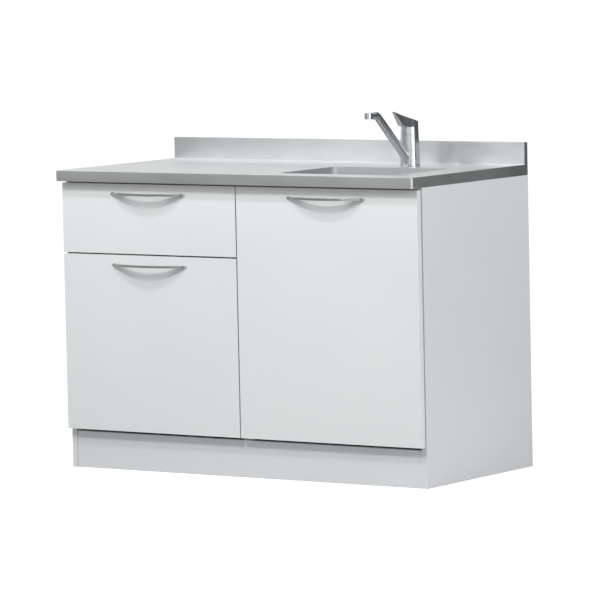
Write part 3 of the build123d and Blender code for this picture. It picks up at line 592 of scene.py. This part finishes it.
coated = add(
    ribs, "GeometryNodeSetMaterial", {"Geometry": soft.outputs[0], "Material": given["Finish"]}
)
add(ribs, "NodeGroupOutput", {"Geometry": coated.outputs[0]})


def ribs_round(box, rib_width_mm, spacing_mm, length_share=0.72):
    """Ribs round a nut or cup, with its axis along the box's shortest side.

    Each rib's middle lies a quarter of its width inside the wall, so a quarter of it stands out.
    """
    low, high = box
    size = high - low
    axis = min(range(3), key=lambda number: size[number])
    radius = max(size) / 2
    mesh = run_group(
        ribs,
        bpy.data.meshes.new("start"),
        {
            "Count": round(2 * pi * radius * 1000 / spacing_mm),
            "Radius": radius - rib_width_mm / 1000 / 4,
            "Length": size[axis] * length_share,
            "Width": rib_width_mm / 1000,
            "Finish": finishes["trap_plastic"],
        },
    )
    along = Vector([float(number == axis) for number in range(3)])
    turn_to_axis = Vector((0, 0, 1)).rotation_difference(along).to_matrix().to_4x4()
    mesh.transform(Matrix.Translation((low + high) / 2) @ turn_to_axis)
    return mesh


nuts, cups = loose_boxes("trap_union_nuts"), loose_boxes("trap_cup")
grips = [ribs_round(box, rib_width_mm=2.2, spacing_mm=7) for box in nuts]
grips += [ribs_round(box, rib_width_mm=2.4, spacing_mm=8) for box in cups]
joined_piece("trap_grip_ribs", grips, body_of_node["trap_cup"], "trap_plastic")

# %% [markdown]
# ## One screw head
#
# The hinges are held by small screws with domed heads. One head is modelled as a mesh: three rings
# for the dome, then a cross pressed into its top. A boolean cut could press the cross too, but the
# head is small, so its few faces are simply built. A second Geometry Nodes group puts that head on
# every point that it is given, turned to the point's own direction.

# %% One screw head
dome_sides = 24
dome_rings = ((1.0, 0.0), (0.97, 0.5), (0.8, 1.0))
cross_floor = 0.25


def cross_head_mesh(radius, height, arm, slot_width):
    """A domed head, with a cross pressed into its top."""
    work = bmesh.new()
    angles = [2 * pi * n / dome_sides for n in range(dome_sides)]
    rim = []
    for width_share, height_share in dome_rings:
        reach, level = radius * width_share, height * height_share
        rim.append([work.verts.new((reach * cos(a), reach * sin(a), level)) for a in angles])
    half = slot_width / 2
    outline = []
    for quarter in range(4):
        spin = Matrix.Rotation(quarter * pi / 2, 2)
        outline += [spin @ Vector(point) for point in ((arm, -half), (arm, half), (half, half))]
    cross = [
        [work.verts.new((point.x, point.y, level)) for point in outline]
        for level in (height, height * cross_floor)
    ]
    for lower, upper in ((rim[0], rim[1]), (rim[1], rim[2]), (cross[0], cross[1])):
        for n in range(len(lower)):
            follower = (n + 1) % len(lower)
            work.faces.new((lower[n], lower[follower], upper[follower], upper[n]))
    edges = [
        work.edges.get((ring[n], ring[(n + 1) % len(ring)]))
        for ring in (rim[2], cross[0])
        for n in range(len(ring))
    ]
    bmesh.ops.triangle_fill(work, edges=edges, use_beauty=True, use_dissolve=False)
    work.faces.new(cross[1])
    bmesh.ops.recalc_face_normals(work, faces=work.faces)
    mesh = bpy.data.meshes.new("screw_head")
    work.to_mesh(mesh)
    work.free()
    return mesh


screws = new_group("screw_heads", {"Head": "Object", "Finish": "Material"})
given = add(screws, "NodeGroupInput").outputs
head = add(screws, "GeometryNodeObjectInfo", {"Object": given["Head"]})
facing = add(
    screws, "GeometryNodeInputNamedAttribute", {"Name": "facing"}, data_type="FLOAT_VECTOR"
)
turned_to = add(
    screws, "FunctionNodeAlignRotationToVector", {"Vector": facing.outputs[0]}, axis="Z"
)
placed = add(
    screws,
    "GeometryNodeInstanceOnPoints",
    {
        "Points": given["Geometry"],
        "Instance": head.outputs["Geometry"],
        "Rotation": turned_to.outputs[0],
    },
)
real = add(screws, "GeometryNodeRealizeInstances", {"Geometry": placed.outputs[0]})
coated = add(
    screws, "GeometryNodeSetMaterial", {"Geometry": real.outputs[0], "Material": given["Finish"]}
)
add(screws, "NodeGroupOutput", {"Geometry": coated.outputs[0]})
print("inputs of the screw group", [item.name for item in screws.interface.items_tree])

# %% [markdown]
# ## Screw heads on the hinges
#
# Each hinge has two screws in its plate and two in the flange of its cup. Their places come from
# rays: each is cast at the plate or flange, and the head sits where the ray lands, facing the way
# that the surface does. So no head hangs in the air if a hinge is moved in the CAD model.

# %% Heads on plates and cups
# Sizes in metres. A plate's screws are this far above and below its middle and in front of its
# back, and a cup's are this far inside the ends of its flange. Rays start this far away.
head_radius, head_height = 0.0034, 0.0012
cross_arm, cross_slot = 0.0019, 0.0008
plate_rise, plate_from_back, flange_inset = 0.016, 0.02, 0.0045
ray_start = 0.05


def screw_heads(name, node, aims, body):
    """Screw heads where rays, each a start and a direction, meet a CAD node."""
    seats, faces = [], []
    for start, direction in aims:
        hit, place, normal, _ = nodes[node].ray_cast(Vector(start), Vector(direction))
        if hit:
            seats.append(place)
            faces.append(normal)
    mesh = bpy.data.meshes.new("seats")
    mesh.from_pydata(seats, [], [])
    facing_of = mesh.attributes.new("facing", "FLOAT_VECTOR", "POINT")
    for number, normal in enumerate(faces):
        facing_of.data[number].vector = normal
    head_mesh = cross_head_mesh(head_radius, head_height, cross_arm, cross_slot)
    one_head = bpy.data.objects.new("one_head", head_mesh)
    bpy.context.scene.collection.objects.link(one_head)
    made = run_group(screws, mesh, {"Head": one_head, "Finish": finishes["zinc_steel"]})
    bpy.data.objects.remove(one_head)
    print(name, len(seats), "of", len(aims), "screws found their seat")
    return joined_piece(name, [made], body, "zinc_steel")


plate_aims = []
for low, high in loose_boxes("hinge_arms"):
    outward = 1 if high.x > 0 else -1
    start_x = outward * (min(abs(low.x), abs(high.x)) - ray_start)
    middle_z = (low.z + high.z) / 2
    for z in (middle_z - plate_rise, middle_z + plate_rise):
        plate_aims.append(((start_x, high.y - plate_from_back, z), (outward, 0, 0)))
screw_heads("hinge_plate_screw_heads", "hinge_arms", plate_aims, body_of_node["hinge_arms"])

for side in ("left", "right"):
    hinge_cups = f"{side}_door_hinge_cups"
    flange_aims = []
    for low, high in loose_boxes(hinge_cups):
        middle_x = (low.x + high.x) / 2
        for z in (high.z - flange_inset, low.z + flange_inset):
            flange_aims.append(((middle_x, high.y + ray_start, z), (0, -1, 0)))
    body = body_of_node[hinge_cups]
    screw_heads(f"{side}_cup_screw_heads", hinge_cups, flange_aims, body)

# %% [markdown]
# ## The studio
#
# The unit stands on a grey studio floor in front of a white background. A bright white sky could
# make that background, but it would flood the unit with light. So only the camera and reflections
# see the sky and the floor as white, through the Light Path node. All other rays find an even,
# dimmer sky and a grey floor, which still takes the unit's shadow.

# %% World
even_colour, even_strength = (0.97, 0.985, 1.0, 1), 0.47


def seen_white(tree):
    """1 for rays from the camera, and for reflected or transmitted ones, and 0 for others."""
    rays = add(tree, "ShaderNodeLightPath")
    camera_or_gloss = add(
        tree,
        "ShaderNodeMath",
        {0: rays.outputs["Is Camera Ray"], 1: rays.outputs["Is Glossy Ray"]},
        operation="MAXIMUM",
    )
    return add(
        tree,
        "ShaderNodeMath",
        {0: camera_or_gloss.outputs[0], 1: rays.outputs["Is Transmission Ray"]},
        operation="MAXIMUM",
    ).outputs[0]


world = bpy.data.worlds.new("studio")
world.use_nodes = True
sky = world.node_tree
sky.nodes.clear()
even_light = add(sky, "ShaderNodeBackground", {"Color": even_colour, "Strength": even_strength})
white = add(sky, "ShaderNodeBackground", {"Color": (1, 1, 1, 1), "Strength": 1.0})
shown = add(
    sky, "ShaderNodeMixShader", {0: seen_white(sky), 1: even_light.outputs[0], 2: white.outputs[0]}
)
add(sky, "ShaderNodeOutputWorld", {"Surface": shown.outputs[0]})
bpy.context.scene.world = world
print("even light", even_strength)

# %% [markdown]
# ## Floor and black cards of painted shade
#
# The floor is plain grey paper. Where the camera or a reflection sees it, white light is added, so
# that it meets the background without an edge and only the shadow stays. In a room, the gap above
# the plinth looks into the dark under the unit. Here it would show the white background through the
# open back, so two black cards stand behind the plinth as painted shade, in place of that dark.

# %% Floor and black cards of painted shade
floor_reach, floor_lift = 60.0, 0.88


def flat_piece(name, corners, faces):
    """A mesh that is part of the studio."""
    mesh = bpy.data.meshes.new(name)
    mesh.from_pydata(corners, [], faces)
    piece = bpy.data.objects.new(name, mesh)
    bpy.context.scene.collection.objects.link(piece)
    return piece


def four_corners(low, high, level):
    """The corners of a level rectangle, from two that are opposite each other."""
    return [
        (low[0], low[1], level),
        (high[0], low[1], level),
        (high[0], high[1], level),
        (low[0], high[1], level),
    ]


floor_corners = four_corners((-floor_reach, -floor_reach), (floor_reach, floor_reach), 0)
floor = flat_piece("floor", floor_corners, [(0, 1, 2, 3)])
material = bpy.data.materials.new("studio_floor")
material.use_nodes = True
tree = material.node_tree
tree.nodes.clear()
paper = add(tree, "ShaderNodeBsdfDiffuse", {"Color": linear("#9C9D9E")})
lift = add(tree, "ShaderNodeEmission", {"Color": (1, 1, 1, 1), "Strength": floor_lift})
lifted = add(tree, "ShaderNodeAddShader", {0: paper.outputs[0], 1: lift.outputs[0]})
surface = add(
    tree, "ShaderNodeMixShader", {0: seen_white(tree), 1: paper.outputs[0], 2: lifted.outputs[0]}
)
add(tree, "ShaderNodeOutputMaterial", {"Surface": surface.outputs[0]})
floor.data.materials.append(material)

# The black cards are painted shade: they stand for the dark under the unit, behind the plinth.
black = bpy.data.materials.new("black_card")
black.use_nodes = True
black.node_tree.nodes.clear()
dull = add(black.node_tree, "ShaderNodeBsdfDiffuse", {"Color": linear("#1A1A1B")})
add(black.node_tree, "ShaderNodeOutputMaterial", {"Surface": dull.outputs[0]})
_, plinth_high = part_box("plinth_board")
card_y = plinth_high[1] + 0.05
card_from, card_to, card_top = 0.017, 0.583, 0.1115
for side in (-1, 1):
    near, far = side * card_from, side * card_to
    card = flat_piece(
        f"card_behind_plinth_{side}",
        [(near, card_y, 0), (far, card_y, 0), (near, card_y, card_top), (far, card_y, card_top)],
        [(0, 1, 3, 2)],
    )
    card.data.materials.append(black)
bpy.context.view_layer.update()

# %% [markdown]
# ## Lamps
#
# Two lamps hang in front of the unit, one at 44 degrees and a weaker one at about 60, so the
# worktop and the handles throw two soft steps of shadow. They are near enough that the light falls
# off a little towards the floor. A large soft lamp on the right fills the side panel.

# %% Lamps
handle_reach_past_worktop = 0.008
front_y = cad_bounds[0][1] + handle_reach_past_worktop
worktop_underside = 0.82


def disk_lamp(name, place, target, watts, diameter):
    """A round lamp that faces a point of the unit."""
    lamp = bpy.data.lights.new(name, "AREA")
    lamp.shape = "DISK"
    lamp.size = diameter
    lamp.energy = watts
    lamp_object = bpy.data.objects.new(name, lamp)
    lamp_object.location = place
    aim = Vector(target) - Vector(place)
    lamp_object.rotation_euler = aim.to_track_quat("-Z", "Y").to_euler()
    bpy.context.scene.collection.objects.link(lamp_object)
    print(name, watts, "W at", [round(number, 2) for number in place])


def above_front(slope_degrees, distance):
    """A place in front of the worktop's edge, this many degrees above it."""
    slope = radians(slope_degrees)
    return (0, front_y - distance * cos(slope), worktop_underside + distance * sin(slope))


upper_fronts = (0, front_y, 0.7)
side_panel_middle = (0.6, 0, 0.5)
disk_lamp("front_lamp", above_front(44, 4.0), upper_fronts, watts=79, diameter=0.75)
disk_lamp("high_front_lamp", above_front(59.5, 4.0), upper_fronts, watts=46, diameter=0.35)
disk_lamp("right_lamp", (3.4, -0.5, 1.7), side_panel_middle, watts=42, diameter=2.0)

# %% [markdown]
# ## Low lamps and their flags
#
# Two low lamps on the left light the upstand: a soft one, and a small one that throws the tap's
# shadow on it. They would wash out the fronts, so a flag stands in the way of each, as in a photo
# studio: a card that hides the lamp from all that is below the worktop's front edge.

# %% Low lamps and their flags
tap_top = Vector((0.3, 0.163, 1.0))
shaded_half_width, shaded_low, shaded_high = 0.75, -0.1, 0.846
shaded = [
    (-shaded_half_width, shaded_low),
    (shaded_half_width, shaded_low),
    (shaded_half_width, shaded_high),
    (-shaded_half_width, shaded_high),
]


def low_lamp(name, turn_degrees, slope_degrees, distance, watts, diameter):
    """A lamp low on the left of the tap, with a card half way that shades the unit's front."""
    turn, slope = radians(turn_degrees), radians(slope_degrees)
    toward = Vector((-sin(turn) * cos(slope), -cos(turn) * cos(slope), sin(slope)))
    lamp_place = tap_top + distance * toward
    disk_lamp(name, lamp_place, tap_top, watts, diameter)
    flag = flat_piece(
        name + "_flag",
        [tuple((lamp_place + Vector((x, front_y, z))) / 2) for x, z in shaded],
        [(0, 1, 2, 3)],
    )
    flag.visible_camera = False
    flag.visible_diffuse = False
    flag.visible_glossy = False
    flag.visible_transmission = False


low_lamp("upstand_lamp", 20, 24, distance=7.0, watts=80, diameter=0.35)
low_lamp("tap_shadow_lamp", 45, 21.5, distance=6.0, watts=56, diameter=0.04)

# %% [markdown]
# ## Screens for reflections
#
# Metal looks like metal when it has something dark to mirror. Grey cards round the unit give the
# chrome its dark bands and the steel its darker faces, as they do in a product studio. Real cards
# would shade the unit too. Here only reflections see them, so they can stand where they are needed.

# %% Screens


def seen_in_reflections_only(piece, grey):
    """Gives a card its grey and hides it from everything but reflections."""
    card = bpy.data.materials.new(piece.name)
    card.use_nodes = True
    card.node_tree.nodes.clear()
    glow = add(card.node_tree, "ShaderNodeEmission", {"Color": (grey, grey, grey, 1)})
    add(card.node_tree, "ShaderNodeOutputMaterial", {"Surface": glow.outputs[0]})
    piece.data.materials.append(card)
    piece.visible_camera = False
    piece.visible_diffuse = False
    piece.visible_shadow = False
    piece.visible_transmission = False


screen_foot, screen_top, screen_distance = 0.02, 3.0, 2.6
screen_steps = 12


def screen(name, from_degrees, to_degrees, grey):
    """A curved card round the unit. 0 degrees is the camera's side, and right is positive."""
    start = atan2(camera_place.y, camera_place.x)
    corners, faces = [], []
    for step in range(screen_steps + 1):
        angle = start + radians(from_degrees + (to_degrees - from_degrees) * step / screen_steps)
        x, y = screen_distance * cos(angle), screen_distance * sin(angle)
        corners += [(x, y, screen_foot), (x, y, screen_top)]
    for step in range(screen_steps):
        first = 2 * step
        faces.append((first, first + 2, first + 3, first + 1))
    seen_in_reflections_only(flat_piece(name, corners, faces), grey)
    print(name, "from", from_degrees, "to", to_degrees, "degrees")


screen("right_screen", 63, 165, grey=0.13)
screen("left_screen", -74, -26, grey=0.43)
screen("far_left_screen", -112, -74, grey=0.46)
card_corners = four_corners((-3, -4), (3, -0.45), 0.01)
card_on_floor = flat_piece("card_on_floor", card_corners, [(0, 1, 2, 3)])
seen_in_reflections_only(card_on_floor, 0.28)
